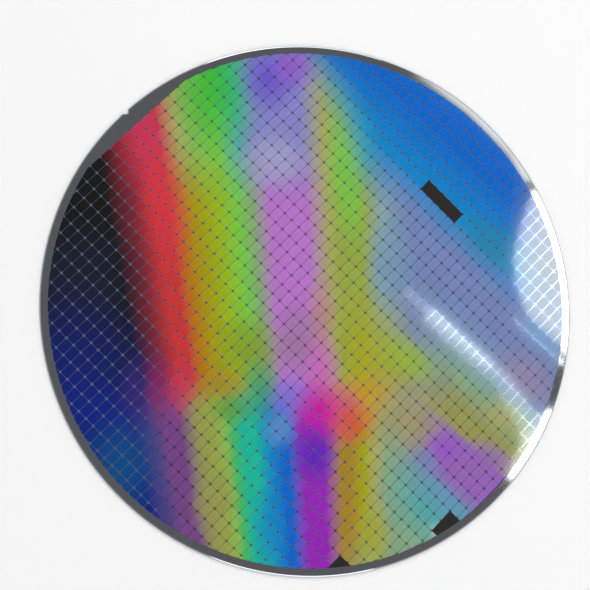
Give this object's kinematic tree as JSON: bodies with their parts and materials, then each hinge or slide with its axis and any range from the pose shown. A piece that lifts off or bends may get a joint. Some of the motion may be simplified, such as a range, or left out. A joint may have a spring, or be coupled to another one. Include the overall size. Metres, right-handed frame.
{
  "type": "silicon wafer",
  "caption": "Notched 200 mm silicon wafer: a thin polished disc with a rounded edge, a V notch, and a grid of printed rectangular dies with streets between them on its front.",
  "frame": {"origin": "centre of the back face", "axes": "+Z out of the printed front face, the notch at -Y, +X along the rows of dies"},
  "size_m": [0.2, 0.2, 0.0007],
  "materials": {
    "silicon": "polished"
  },
  "bodies": {
    "root": {"wafer": "silicon"}
  },
  "joints": []
}
